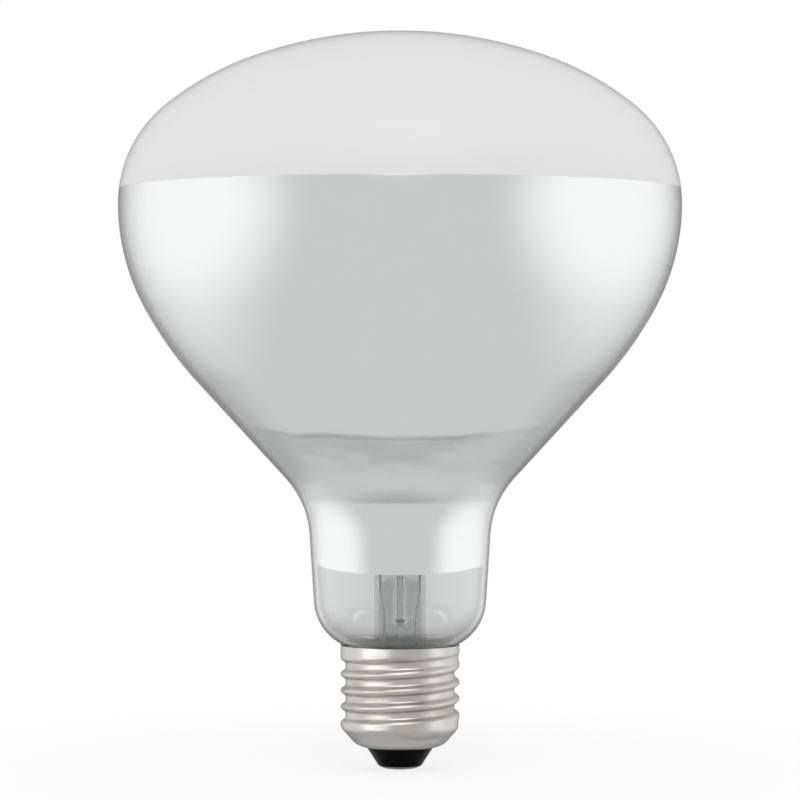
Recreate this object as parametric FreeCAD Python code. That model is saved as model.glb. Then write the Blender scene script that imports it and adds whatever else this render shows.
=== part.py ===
import FreeCAD, Part
import math
import os

# Infrared heat lamp: a blown reflector bulb on an Edison screw cap.
# Millimetres. Z is the lamp's axis, the face of the centre contact is at Z = 0 and the dome is on top.
# Angles are in degrees. An outline's angle is that of its outward normal above the horizontal.

# Glass bulb
lamp_height = 163.0
bulb_radius = 62.25
glass_wall = 1.0
dome_radius = 97.0
dome_edge_angle = 69.6
crown_radius = 27.7
crown_start_angle = 50.5
upper_bowl_radius = 48.4
upper_bowl_angle = 28.6
lower_bowl_radius = 83.6
cone_angle = 42.5
throat_radius = 20.0
neck_radius = 19.3
neck_level = 40.0
neck_taper = 3.66
shoulder_radius = 11.3
shoulder_angle = 66.75
shoulder_hollow = 1.5

# Mirror coating inside the bulb: its thickness is drawn large enough to be seen
mirror_thickness = 0.1
mirror_rise = 3.6
mirror_neck_cover = 6.2
mirror_edge_tilt = 6.4

# Screw cap: rolled sheet with a rounded thread
cap_radius = 13.2
cap_rim_level = 27.5
cap_sheet = 0.25
thread_pitch = 3.629
knuckle_radius = 1.025
collar_band = 2.35
groove_rise = 0.3
groove_before = 0.15
groove_run_in = 0.5
groove_run_out = 0.5
groove_columns = 24
groove_rows = 10
bowl_rows = 8
knee_rows = 4
knee_radius = 1.5
cap_bowl_angle = 41.0
cap_bowl_radius = 4.2
lip_radius = 7.5
lip_level = 4.9
rim_gap = 0.1
cement_thickness = 0.45
cement_length = 6.8
cement_depth = 1.62

# Cap bottom: black glass, eyelet and solder
insulator_foot_radius = 5.0
insulator_foot_level = 0.75
insulator_foot_round = 0.4
insulator_dish = 0.8
insulator_dish_radius = 5.5
seat_clearance = 0.02
contact_radius = 4.8
contact_flat_radius = 2.7
contact_face_level = 0.1
eyelet_radius = 1.6
eyelet_sheet = 0.3
eyelet_length = 2.6
solder_radius = 2.3
solder_edge = 0.35
solder_fill = 1.6

# Stem: flare tube with its flat press, and the exhaust tube
neck_insert = 9.5
stem_radius = 5.75
stem_wall = 1.0
flare_radius = 10.5
stem_length = 24.5
vault_rise = 1.5
stem_dome_height = 3.5
press_width = 11.2
press_thickness = 3.8
press_height = 11.5
exhaust_radius = 1.55
exhaust_bore = 0.85
exhaust_length = 11.9
exhaust_tip = 1.6
blow_hole_slope = 30.0

# Conductors
seal_spread = 4.4
seal_wire_radius = 0.22
seal_stub = 0.5
lead_radius = 0.2
lead_spread = 3.5
lead_joggle = 5.0
lead_straight = 1.2
lead_bend = 1.2
lead_drop = 2.4
inner_lead_radius = 0.4
inner_lead_rise = 4.0
side_notch_width = 0.6
side_notch_depth = 1.2
side_exit_drop = 0.8
side_exit_rise = 0.9
side_solder_radius = 0.75
side_solder_depth = 0.6
side_solder_drop = 0.9

# Filament, its arbor and supports
filament_rise = 41.5
ring_radius = 11.0
coil_radius = 0.6
ring_gap = 70.0
arbor_radius = 1.5
arbor_length = 20.0
button_radius = 3.0
button_height = 4.0
support_count = 5
support_radius = 0.18
loop_clearance = 0.05
loop_swell = 1.2
crimp_wall = 0.3
crimp_length = 2.4

# Levels and radii that follow from the sizes above
thread_flank = math.asin(thread_pitch / (4 * knuckle_radius))
thread_depth = 2 * knuckle_radius * (1 - math.cos(thread_flank))
neck_seal_radius = cap_radius - thread_depth - cap_sheet - cement_thickness
seal_level = cap_rim_level - neck_insert
vault_level = seal_level + stem_length
press_level = vault_level + press_height
filament_level = vault_level + filament_rise
axis_foot = FreeCAD.Vector(0, 0, 0)
up = FreeCAD.Vector(0, 0, 1)


def rz(radius, level):
    """A point of a turned section, given by its radius and its level."""
    return FreeCAD.Vector(radius, 0, level)


def normal(angle):
    """The unit normal of a section at an angle above the horizontal."""
    return rz(math.cos(math.radians(angle)), math.sin(math.radians(angle)))


def meet(angle_a, point_a, angle_b, point_b, apart):
    """Where two lines of a section cross, both first moved along their normals by apart."""
    a, b = normal(angle_a), normal(angle_b)
    reach_a = a.dot(point_a) + apart
    reach_b = b.dot(point_b) + apart
    spread = a.x * b.z - b.x * a.z
    return rz((reach_a * b.z - reach_b * a.z) / spread, (a.x * reach_b - b.x * reach_a) / spread)


def straight(*points):
    """Straight edges from point to point."""
    return [Part.makeLine(a, b) for a, b in zip(points, points[1:])]


def curve(start, middle, end):
    """One round edge through three points."""
    return Part.Arc(start, middle, end).toShape()


def turned(edges):
    """The solid that a closed section sweeps round the lamp's axis."""
    section = Part.Face(Part.Wire(Part.sortEdges(edges)[0]))
    return section.revolve(axis_foot, up, 360)


def tube(outer, inner, bottom, top):
    """A plain ring between two radii and two levels."""
    corners = [rz(inner, bottom), rz(outer, bottom), rz(outer, top), rz(inner, top)]
    return turned(straight(*corners, corners[0]))


# Glass outline
# Each arc is its centre, radius, first and last angle, and 1 where it bulges or -1 where it is hollow.

def bulb_arcs():
    """The tangent arcs of the outer glass from the middle of the dome down into the cap."""
    dome = normal(dome_edge_angle)
    crown = normal(crown_start_angle)
    middle_radius = (bulb_radius - dome_radius * dome.x - crown_radius * (1 - crown.x)) / (crown.x - dome.x)
    turns = [
        (dome_radius, 90, dome_edge_angle),
        (middle_radius, dome_edge_angle, crown_start_angle),
        (crown_radius, crown_start_angle, 0),
        (upper_bowl_radius, 0, -upper_bowl_angle),
        (lower_bowl_radius, -upper_bowl_angle, -cone_angle),
    ]
    arcs = []
    point = rz(0, lamp_height)
    for radius, first, last in turns:
        centre = point - normal(first) * radius
        point = centre + normal(last) * radius
        arcs.append((centre, radius, first, last, 1))

    neck = rz(neck_radius, neck_level)
    rim = rz(cap_radius - cap_sheet, cap_rim_level + rim_gap)
    seal = rz(neck_seal_radius, seal_level)
    throat = meet(-cone_angle, point, -neck_taper, neck, throat_radius)
    shoulder = meet(-neck_taper, neck, -shoulder_angle, rim, -shoulder_radius)
    hollow = meet(-shoulder_angle, rim, 0, seal, shoulder_hollow)
    arcs.append((throat, throat_radius, -cone_angle, -neck_taper, -1))
    arcs.append((shoulder, shoulder_radius, -neck_taper, -shoulder_angle, 1))
    arcs.append((hollow, shoulder_hollow, -shoulder_angle, 0, -1))
    return arcs


def on_arc(arc, share, inset):
    """A point at a share of an arc's turn, on the surface that lies inset inside it."""
    centre, radius, first, last, side = arc
    return centre + normal(first + (last - first) * share) * (side * radius - inset)


def glass_line(inset):
    """The edges of the glass outline, moved inwards by inset, from the axis to the edge of the neck."""
    edges = []
    for arc in bulb_arcs():
        start, middle, end = [on_arc(arc, share, inset) for share in (0, 0.5, 1)]
        if edges and last.distanceToPoint(start) > 1e-6:
            edges += straight(last, start)
        edges.append(curve(start, middle, end))
        last = end
    return edges + straight(last, rz(neck_seal_radius - inset, seal_level))


def glass_layer(outside, inside):
    """A layer of the bulb's wall, between two depths below its outer surface."""
    top = straight(rz(0, lamp_height - outside), rz(0, lamp_height - inside))
    foot = straight(rz(neck_seal_radius - outside, seal_level), rz(neck_seal_radius - inside, seal_level))
    return turned(glass_line(outside) + glass_line(inside) + top + foot)


def glass_envelope():
    return glass_layer(0, glass_wall)


def widest_level():
    crown = bulb_arcs()[2]
    return crown[0].z


def mirror_coating():
    """The bright film on the inside, from just above the widest part to a slanting edge on the neck."""
    film = glass_layer(glass_wall, glass_wall + mirror_thickness)
    reach = 2 * bulb_radius
    face_edge = FreeCAD.Vector(-reach, -reach, widest_level() + mirror_rise)
    clear_face = Part.makeBox(2 * reach, 2 * reach, reach, face_edge)
    edge = neck_level + mirror_neck_cover
    clear_neck = Part.makeBox(2 * reach, 2 * reach, reach, FreeCAD.Vector(-reach, -reach, edge - reach))
    clear_neck.rotate(rz(0, edge), FreeCAD.Vector(1, 0, 0), mirror_edge_tilt)
    return film.cut(clear_face).cut(clear_neck)


# Screw cap

def knee_level():
    """The level where the cap's straight wall turns into its bottom bowl."""
    bowl = rz(lip_radius, lip_level + cap_bowl_radius) + normal(-cap_bowl_angle) * cap_bowl_radius
    return meet(-cap_bowl_angle, bowl, 0, rz(cap_radius, 0), -knee_radius).z


def cap_line(inset):
    """Even steps along the cap's unthreaded outline, from the lip up to the collar, moved inwards by inset."""
    bowl = rz(lip_radius, lip_level + cap_bowl_radius)
    knee = rz(cap_radius - knee_radius, knee_level())
    marks = [bowl + normal(angle) * (cap_bowl_radius - inset) for angle in steps(-90, -cap_bowl_angle, bowl_rows)]
    slope_end = knee + normal(-cap_bowl_angle) * (knee_radius - inset)
    marks += [marks[-1] + (slope_end - marks[-1]) * share for share in steps(0, 1, bowl_rows)[1:]]
    marks += [knee + normal(angle) * (knee_radius - inset) for angle in steps(-cap_bowl_angle, 0, knee_rows)[1:]]
    rows = round((collar_level() - knee.z) / (thread_pitch / groove_rows))
    return marks + [rz(cap_radius - inset, level) for level in steps(knee.z, collar_level(), rows)[1:]]


def steps(first, last, count):
    """Evenly spaced values, both ends included."""
    return [first + (last - first) * k / count for k in range(count + 1)]


def collar_level():
    """The level above which the cap's wall is a plain cylinder."""
    return cap_rim_level - collar_band + thread_pitch / 4


def knuckle_depth(distance, inset):
    """How far the rounded groove lies below the crests, at an axial distance from its middle."""
    if distance < (knuckle_radius + inset) * math.sin(thread_flank):
        return thread_depth - knuckle_radius - inset + math.sqrt((knuckle_radius + inset) ** 2 - distance ** 2)
    past = thread_pitch / 2 - distance
    return knuckle_radius - inset - math.sqrt((knuckle_radius - inset) ** 2 - past ** 2)


def ease(share):
    """A smooth rise from 0 to 1."""
    share = min(max(share, 0), 1)
    return share * share * (3 - 2 * share)


def groove_depth(level, turn, inset):
    """The depth of the right-hand groove at a level, and at a share of a turn round the cap."""
    first = knee_level() + groove_rise
    rises = (level - first) / thread_pitch
    wound = turn + round(rises - turn)
    ends = (cap_rim_level - collar_band - first) / thread_pitch
    strength = ease((wound + groove_before) / groove_run_in) * ease((ends - wound) / groove_run_out)
    strength *= ease((collar_level() - level) / (thread_pitch / 4))
    return strength * knuckle_depth(abs(rises - wound) * thread_pitch, inset)


def rolled_halves(inset):
    """The two halves of the rolled face below the collar, at a depth under the sheet's outer side."""
    marks = cap_line(inset)
    grid = []
    for turn in steps(0, 1, groove_columns):
        away = FreeCAD.Vector(math.cos(2 * math.pi * turn), math.sin(2 * math.pi * turn), 0)
        grid.append([away * (mark.x - groove_depth(mark.z, turn, inset)) + up * mark.z for mark in marks])
    surface = Part.BSplineSurface()
    surface.interpolate(grid)
    surface.setUPeriodic()
    first, last, foot, top = surface.bounds()
    middle = (first + last) / 2
    return [surface.toShape(start, end, foot, top) for start, end in ((first, middle), (middle, last))]


def level_edges(face):
    """The lower and the upper edge of half a band."""
    lower = min(face.Edges, key=lambda edge: edge.BoundBox.ZMax)
    upper = max(face.Edges, key=lambda edge: edge.BoundBox.ZMin)
    return lower, upper


def cap_shell():
    """The cap's thin sheet: plain collar, rolled thread and turned-in bottom, with a notch for the side lead."""
    outer, inner = rolled_halves(0), rolled_halves(cap_sheet)
    rims = []
    for outer_half, inner_half in zip(outer, inner):
        for outer_edge, inner_edge in zip(level_edges(outer_half), level_edges(inner_half)):
            rims.append(Part.makeRuledSurface(outer_edge, inner_edge))
    rolled = Part.Compound(outer + inner + rims)
    rolled.sewShape(0.003)
    rolled = Part.Solid(rolled.Shells[0])
    collar = tube(cap_radius, cap_radius - cap_sheet, collar_level(), cap_rim_level)
    corner = FreeCAD.Vector(-side_notch_width / 2, cap_radius - 1, cap_rim_level - side_notch_depth)
    notch = Part.makeBox(side_notch_width, 2, side_notch_depth + 1, corner)
    return rolled.fuse(collar, 0.001).cut(notch)


def cap_insulator():
    """The black glass that carries the contact, moulded into the cap's bottom bowl."""
    fit = cap_sheet + seat_clearance
    bowl = rz(lip_radius, lip_level + cap_bowl_radius)
    inside = [bowl + normal(angle) * (cap_bowl_radius - fit) for angle in steps(-90, -cap_bowl_angle, 2)]
    neck_top = inside[0] - rz(seat_clearance, 0)
    lip = rz(lip_radius - seat_clearance, lip_level)
    dish = inside[2].z - insulator_dish
    foot = rz(insulator_foot_radius, insulator_foot_level + insulator_foot_round)
    toe = rz(insulator_foot_radius - insulator_foot_round, insulator_foot_level)
    edges = [curve(*inside)]
    edges += straight(inside[2], rz(insulator_dish_radius, dish), rz(eyelet_radius, dish))
    edges += straight(rz(eyelet_radius, dish), rz(eyelet_radius, insulator_foot_level), toe, foot, lip, neck_top)
    return turned(edges + straight(neck_top, inside[0]))


def centre_contact():
    """The eyelet plate under the black glass, with its barrel inside it."""
    hole = eyelet_radius - eyelet_sheet
    barrel_top = insulator_foot_level + eyelet_length
    rim = rz(contact_radius, insulator_foot_level)
    flat = rz(contact_flat_radius, contact_face_level)
    width = contact_radius - contact_flat_radius
    rise = insulator_foot_level - contact_face_level
    round_radius = (width ** 2 + rise ** 2) / (2 * rise)
    half_turn = math.degrees(math.asin(width / round_radius)) / 2
    belly = flat + up * round_radius + normal(half_turn - 90) * round_radius
    edges = [curve(rim, belly, flat)]
    edges += straight(flat, rz(hole, contact_face_level), rz(hole, barrel_top), rz(eyelet_radius, barrel_top))
    return turned(edges + straight(rz(eyelet_radius, barrel_top), rz(eyelet_radius, insulator_foot_level), rim))


def centre_solder():
    """The flattened drop that closes the eyelet and takes the centre lead."""
    hole = eyelet_radius - eyelet_sheet
    top = contact_face_level + solder_fill
    marks = [
        rz(0, top),
        rz(hole, top),
        rz(hole, contact_face_level),
        rz(solder_radius, contact_face_level),
        rz(solder_radius - solder_edge, 0),
        rz(0, 0),
    ]
    return turned(straight(*marks, marks[0]))


def basing_cement():
    """The ring of cement between the neck and the rolled cap."""
    top = cap_rim_level - cement_depth
    outer = neck_seal_radius + cement_thickness - seat_clearance
    ring = tube(outer, neck_seal_radius, top - cement_length, top)
    return ring.cut(outer_lead_side())


# Stem

def stem_flare():
    """The flare tube with its vault and flat press, drilled for the wires and the blow hole."""
    bore = stem_radius - stem_wall
    rim = neck_seal_radius - glass_wall
    upper_turn = math.degrees(math.acos(1 - (rim - stem_radius) / flare_radius))
    lower_turn = math.degrees(math.acos(1 - (rim - bore) / (flare_radius + stem_wall)))
    flare_level = seal_level + (flare_radius + stem_wall) * math.sin(math.radians(lower_turn))
    centre = rz(stem_radius + flare_radius, flare_level)
    upper = [centre - normal(upper_turn * share) * flare_radius for share in (0, 0.5, 1)]
    lower = [centre - normal(lower_turn * share) * (flare_radius + stem_wall) for share in (0, 0.5, 1)]
    shoulder = rz(stem_radius, vault_level)
    crown = rz(0, vault_level + stem_dome_height)
    crown_side = rz(stem_radius * 0.75, vault_level + stem_dome_height * 0.6)
    vault_foot = rz(bore, vault_level - vault_rise)
    vault_side = rz(bore * 0.55, vault_level - vault_rise * 0.32)
    edges = [curve(*upper), curve(*lower)]
    edges += straight(lower[2], upper[2])
    edges += straight(upper[0], shoulder)
    edges.append(curve(shoulder, crown_side, crown))
    edges += straight(crown, rz(0, vault_level))
    edges.append(curve(rz(0, vault_level), vault_side, vault_foot))
    edges += straight(vault_foot, lower[0])
    half = press_thickness / 2
    press = Part.makeBox(
        press_width - press_thickness,
        press_thickness,
        press_height,
        FreeCAD.Vector(half - press_width / 2, -half, vault_level),
    )
    for side in (-1, 1):
        edge = FreeCAD.Vector(side * (press_width / 2 - half), 0, vault_level)
        press = press.fuse(Part.makeCylinder(half, press_height, edge))
    lean = FreeCAD.Vector(0, math.sin(math.radians(blow_hole_slope)), math.cos(math.radians(blow_hole_slope)))
    blow_hole = Part.makeCylinder(exhaust_bore, press_height, rz(0, vault_level - vault_rise), lean)
    stem = turned(edges).fuse(press.removeSplitter()).cut(blow_hole)
    for side in (-1, 1):
        stem = stem.cut(seal_wire(side))
    return stem


def exhaust_tube():
    """The narrow tube under the vault, sealed off with a round tip."""
    tip = vault_level - exhaust_length
    outer_mid = rz(exhaust_radius * 0.72, tip + exhaust_tip * 0.3)
    inner_tip = tip + exhaust_tip
    inner_mid = rz(exhaust_bore * 0.72, inner_tip + exhaust_bore * 0.3)
    edges = [
        curve(rz(0, tip), outer_mid, rz(exhaust_radius, tip + exhaust_tip)),
        curve(rz(0, inner_tip), inner_mid, rz(exhaust_bore, inner_tip + exhaust_bore)),
    ]
    edges += straight(rz(0, tip), rz(0, inner_tip))
    edges += straight(
        rz(exhaust_radius, tip + exhaust_tip),
        rz(exhaust_radius, vault_level),
        rz(exhaust_bore, vault_level),
        rz(exhaust_bore, inner_tip + exhaust_bore),
    )
    return turned(edges).cut(stem_flare())


# Conductors

def wire_run(points, radius, bend):
    """A round wire along straight runs with a tangent bend at each inner point."""
    edges = []
    last = points[0]
    for before, corner, after in zip(points, points[1:], points[2:]):
        back = (before - corner).normalize()
        forth = (after - corner).normalize()
        half = back.getAngle(forth) / 2
        middle_way = (back + forth).normalize()
        start = corner + back * (bend / math.tan(half))
        end = corner + forth * (bend / math.tan(half))
        middle = corner + middle_way * (bend / math.sin(half) - bend)
        edges += straight(last, start)
        edges.append(curve(start, middle, end))
        last = end
    edges += straight(last, points[-1])
    path = Part.Wire(edges)
    section = Part.Wire(Part.makeCircle(radius, points[0], points[1] - points[0]))
    return path.makePipeShell([section], True, False)


def seal_ends():
    """The levels of the two ends of the wire that passes through the press."""
    return vault_level - vault_rise - seal_stub, press_level + seal_stub


def seal_wire(side):
    bottom, top = seal_ends()
    foot = FreeCAD.Vector(side * seal_spread, 0, bottom)
    return Part.makeCylinder(seal_wire_radius, top - bottom, foot)


def outer_lead_start(side):
    """The upper end of an outer lead and its joggle towards the axis."""
    top = seal_ends()[0]
    return [
        FreeCAD.Vector(side * seal_spread, 0, top),
        FreeCAD.Vector(side * seal_spread, 0, top - lead_straight),
        FreeCAD.Vector(side * lead_spread, 0, top - lead_straight - lead_joggle),
    ]


def outer_lead_centre():
    """The lead that drops to the solder in the eyelet."""
    solder_top = contact_face_level + solder_fill
    straight_end = FreeCAD.Vector(lead_spread, 0, seal_level)
    points = outer_lead_start(1) + [straight_end, rz(0, lip_level + cap_bowl_radius), rz(0, solder_top)]
    return wire_run(points, lead_radius, lead_bend)


def outer_lead_side():
    """The lead that turns up outside the neck and leaves through the notch in the rim."""
    track = neck_seal_radius + cement_thickness / 2
    low = seal_level - lead_drop
    exit_level = cap_rim_level - side_exit_drop
    points = outer_lead_start(-1) + [
        FreeCAD.Vector(-lead_spread, 0, low),
        FreeCAD.Vector(0, track, low),
        FreeCAD.Vector(0, track, exit_level - side_exit_rise),
        FreeCAD.Vector(0, cap_radius - cap_sheet, exit_level),
    ]
    return wire_run(points, lead_radius, lead_bend)


def side_solder():
    """The drop that fills the notch at the back, flush with the collar, and holds the side lead in it."""
    middle = FreeCAD.Vector(0, cap_radius - side_solder_depth, cap_rim_level - side_solder_drop)
    drop = Part.makeSphere(side_solder_radius, middle)
    flush = Part.makeCylinder(cap_radius, cap_rim_level)
    return drop.common(flush).cut(cap_shell()).cut(outer_lead_side())


# Filament

def ring_point(angle, radius=ring_radius, level=filament_level):
    away = math.radians(angle)
    return FreeCAD.Vector(radius * math.cos(away), radius * math.sin(away), level)


def filament_coil():
    """The coiled wire as the round bar that its turns fill, bent to an open ring."""
    ring = Part.makeTorus(ring_radius, coil_radius, rz(0, filament_level), up, 0, 360, 360 - ring_gap)
    ring.rotate(rz(0, filament_level), up, ring_gap / 2 - 90)
    return ring


def inner_lead(side):
    """The stiff lead from the press to one end of the filament, which it grips in a crimped sleeve."""
    foot = FreeCAD.Vector(side * seal_spread, 0, seal_ends()[1])
    angle = -90 + side * ring_gap / 2
    reach = math.degrees(crimp_length / 2 / ring_radius)
    grip = ring_point(angle + side * reach)
    under = grip - up * (coil_radius + crimp_wall / 2)
    points = [foot, foot + up * inner_lead_rise, under - up * inner_lead_rise, under]
    lead = wire_run(points, inner_lead_radius, 2 * lead_bend)
    along = up.cross(ring_point(angle + side * reach, 1, 0)) * side
    sleeve = Part.makeCylinder(coil_radius + crimp_wall, crimp_length, grip - along * (crimp_length / 2), along)
    return lead.fuse(sleeve).cut(filament_coil())


def support_wire(number):
    """A springy support from the glass button to a loop round the filament."""
    angle = ring_gap / 2 - 90 + (360 - ring_gap) * (number + 1) / (support_count + 1)
    loop = coil_radius + loop_clearance + support_radius * loop_swell
    seat = ring_point(angle, button_radius / 2, press_level + arbor_length + button_height / 2)
    centre = ring_point(angle)
    way = (centre - seat).normalize()
    rod = Part.makeCylinder(support_radius, centre.distanceToPoint(seat) - loop, seat, way)
    ring = Part.makeTorus(loop, support_radius * loop_swell, centre, ring_point(angle + 90, 1, 0))
    return rod.fuse(ring)


def glass_arbor():
    """The glass rod on the press with the button that holds the supports."""
    neck = press_level + arbor_length
    top = neck + button_height
    half = button_height / 2
    edges = straight(rz(0, top), rz(0, press_level), rz(arbor_radius, press_level), rz(arbor_radius, neck))
    edges.append(curve(rz(arbor_radius, neck), rz(button_radius, neck + half), rz(arbor_radius, top)))
    edges += straight(rz(arbor_radius, top), rz(0, top))
    arbor = turned(edges)
    for number in range(support_count):
        arbor = arbor.cut(support_wire(number))
    return arbor


def lamp():
    """Every piece of the lamp by its name."""
    pieces = {
        "glass_envelope": glass_envelope(),
        "mirror_coating": mirror_coating(),
        "cap_shell": cap_shell(),
        "cap_insulator": cap_insulator(),
        "centre_contact": centre_contact(),
        "centre_solder": centre_solder(),
        "basing_cement": basing_cement(),
        "stem_flare": stem_flare(),
        "exhaust_tube": exhaust_tube(),
        "seal_wire_left": seal_wire(-1),
        "seal_wire_right": seal_wire(1),
        "outer_lead_centre": outer_lead_centre(),
        "outer_lead_side": outer_lead_side(),
        "side_solder": side_solder(),
        "inner_lead_left": inner_lead(-1),
        "inner_lead_right": inner_lead(1),
        "filament_coil": filament_coil(),
        "glass_arbor": glass_arbor(),
    }
    for number in range(support_count):
        pieces[f"support_wire_{number + 1}"] = support_wire(number)
    return pieces


os.makedirs("parts", exist_ok=True)
for name, shape in lamp().items():
    shape.exportStep(f"parts/{name}.step")
    print(name, shape.isValid(), len(shape.Solids), round(shape.Volume, 2))
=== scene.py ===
import math

import bpy
from bpy.props import FloatProperty, FloatVectorProperty, IntProperty, PointerProperty
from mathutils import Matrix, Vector


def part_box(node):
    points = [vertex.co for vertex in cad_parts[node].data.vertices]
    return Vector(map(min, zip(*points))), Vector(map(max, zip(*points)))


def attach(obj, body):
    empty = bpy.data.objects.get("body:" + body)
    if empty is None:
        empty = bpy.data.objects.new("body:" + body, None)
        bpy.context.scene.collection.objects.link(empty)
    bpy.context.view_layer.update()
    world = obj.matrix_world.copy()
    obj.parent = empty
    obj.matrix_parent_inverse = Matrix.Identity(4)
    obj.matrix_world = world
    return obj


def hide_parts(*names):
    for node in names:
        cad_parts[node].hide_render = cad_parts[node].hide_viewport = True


bl_info = {
    "name": "Heat Lamp Bulb",
    "version": (1, 0, 0),
    "blender": (4, 5, 0),
    "location": "3D View > Sidebar > Heat Lamp",
    "description": "Builds a reflector heat lamp bulb round its packed parts, with its studio",
    "category": "Add Mesh",
}

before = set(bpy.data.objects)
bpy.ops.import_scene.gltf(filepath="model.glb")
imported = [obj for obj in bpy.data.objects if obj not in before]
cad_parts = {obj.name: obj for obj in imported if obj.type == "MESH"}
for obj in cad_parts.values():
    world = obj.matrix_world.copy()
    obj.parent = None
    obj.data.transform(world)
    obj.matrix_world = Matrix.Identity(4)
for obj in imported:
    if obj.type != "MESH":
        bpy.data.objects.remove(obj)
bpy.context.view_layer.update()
GLASS_LOW, GLASS_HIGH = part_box("glass_envelope")
FILM_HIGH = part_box("mirror_coating")[1]
CAP_LOW, CAP_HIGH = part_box("cap_shell")
COIL_LOW, COIL_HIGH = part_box("filament_coil")
MM = 0.001


# Sizes and colours that a user may change

def length(name, description, millimetres):
    """A length in metres whose default is given in millimetres."""
    return FloatProperty(
        name=name,
        description=description,
        default=millimetres * MM,
        min=0.0,
        precision=5,
        subtype="DISTANCE",
        unit="LENGTH",
    )


def angle(name, description, degrees):
    """An angle whose default is given in degrees."""
    return FloatProperty(
        name=name,
        description=description,
        default=math.radians(degrees),
        subtype="ANGLE",
        unit="ROTATION",
    )


def share(name, description, default, top=1.0):
    return FloatProperty(
        name=name, description=description, default=default, min=0.0, max=top, subtype="FACTOR"
    )


def strength(name, description, default):
    return FloatProperty(name=name, description=description, default=default, min=0.0)


def colour(name, description, *default):
    return FloatVectorProperty(
        name=name,
        description=description,
        default=default,
        min=0.0,
        max=1.0,
        size=3,
        subtype="COLOR",
    )


def count(name, description, default):
    return IntProperty(name=name, description=description, default=default, min=3)


class BulbSizes(bpy.types.PropertyGroup):
    """The blown glass: tangent arcs from the middle of the dome down into the cap"""

    top: length("Top", "Level of the middle of the dome", GLASS_HIGH.z / MM)
    widest: length("Widest radius", "Radius of the bulb at its widest", 62.25)
    wall: length("Wall", "Thickness of the glass", 1.0)
    dome: length("Dome", "Radius of the flat middle of the dome", 97.0)
    dome_edge: angle("Dome edge", "Where the dome's middle ends, as its normal's angle", 69.6)
    crown: length("Crown", "Radius of the tight bend above the widest part", 27.7)
    crown_start: angle("Crown start", "Where the tight bend starts", 50.5)
    upper_bowl: length("Upper bowl", "Radius just below the widest part", 48.4)
    upper_bowl_end: angle("Upper bowl end", "How far the upper bowl turns down", 28.6)
    lower_bowl: length("Lower bowl", "Radius of the lower bowl", 83.6)
    cone: angle("Cone", "How far the cone's outside faces down", 42.5)
    throat: length("Throat", "Radius of the hollow between cone and neck", 20.0)
    neck: length("Neck", "Radius of the neck at its stated level", 19.3)
    neck_level: length("Neck level", "Level where the neck has its radius", 40.0)
    taper: angle("Taper", "How far the neck's outside faces down", 3.66)
    shoulder: length("Shoulder", "Radius of the bend at the neck's foot", 11.3)
    shoulder_end: angle("Shoulder end", "How far the shoulder turns down", 66.75)
    hollow: length("Hollow", "Radius of the small bend inside the cap's rim", 1.4)
    rim: length("Rim", "Radius of the glass where it meets the cap's rim", 12.95)
    rim_level: length("Rim level", "Level where the glass meets the cap's rim", 27.6)
    seal: length("Seal", "Radius of the glass inside the cap", 11.404)
    foot: length("Foot", "Level of the edge inside the cap", GLASS_LOW.z / MM)
    film_top: length("Film top", "Level of the film's upper edge", FILM_HIGH.z / MM)
    overlap: length("Overlap", "How far the satin face reaches below the film's upper edge", 0.3)
    film_foot: length("Film foot", "Level of the film's edge on the neck, at the sides", 46.2)
    film_slant: angle("Film slant", "How far the film's edge on the neck slants", 6.4)
    film_gap: length("Film gap", "Room between glass and film", 0.02)
    film: length("Film", "Thickness that the film is drawn with", 0.06)
    line_level: length("Line level", "Level of the thin line on the cone, at the sides", 78.3)
    line_slant: angle("Line slant", "How far that line slants up towards the back", 7.6)
    # Foot of the band on the cone that is darkened with painted shade
    shade_foot: length("Dull foot", "Level down to which the film is dull below that line", 59.6)
    row: length("Row", "Height of one row of faces", 1.6)
    segments: count("Segments", "Faces round the bulb", 192)


class CapSizes(bpy.types.PropertyGroup):
    """The screw cap with its rolled thread, and the cap's bottom"""

    radius: length("Radius", "Radius over the thread's crests", 13.2)
    rim: length("Rim", "Level of the upper rim", CAP_HIGH.z / MM)
    sheet: length("Sheet", "Thickness of the rolled sheet", 0.25)
    pitch: length("Pitch", "Rise of the thread in one turn", 3.629)
    rows: count("Rows", "Rows of faces in one turn of the thread", 20)
    knuckle: length("Knuckle", "Radius of the thread's round crests and grooves", 1.025)
    crest_sharpness: share(
        "Crest sharpness", "How narrow the crests are between the grooves; 1 is round", 1.8, 4.0
    )
    collar: length("Collar", "Height of the plain band above the thread", 2.35)
    groove_rise: length("Groove rise", "How far above the knee the groove starts", 0.3)
    groove_before: strength("Groove before", "Turns that the groove runs before that start", 0.15)
    groove_end: strength("Groove end", "Turns over which the groove runs in and out", 0.5)
    knee: length("Knee", "Radius of the bend above the bowl", 1.5)
    bowl: length("Bowl", "Radius of the turned-in edge", 4.2)
    bowl_end: angle("Bowl end", "Where the turned-in edge becomes straight", 41.0)
    lip: length("Lip", "Radius of the opening for the black glass", 7.5)
    lip_level: length("Lip level", "Level of that opening", CAP_LOW.z / MM)
    notch: length("Notch", "Width of the notch for the side lead", 0.6)
    notch_depth: length("Notch depth", "Depth of that notch", 1.2)
    insulator_foot: length("Insulator foot", "Radius of the black glass at its foot", 5.0)
    insulator_level: length("Insulator level", "Level of the black glass's foot", 0.75)
    insulator_round: length("Insulator round", "Rounding of its foot", 0.4)
    eyelet: length("Eyelet", "Outer radius of the contact's barrel", 1.6)
    eyelet_sheet: length("Eyelet sheet", "Thickness of the contact's metal", 0.3)
    contact: length("Contact", "Radius of the contact plate", 4.8)
    contact_flat: length("Contact flat", "Radius of its flat middle", 2.7)
    contact_level: length("Contact level", "Level of that flat", 0.1)
    solder: length("Solder", "Radius of the solder on the contact", 2.3)
    solder_fill: length("Solder fill", "How far the solder fills the barrel", 1.6)
    segments: count("Segments", "Faces round the cap", 180)


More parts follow.
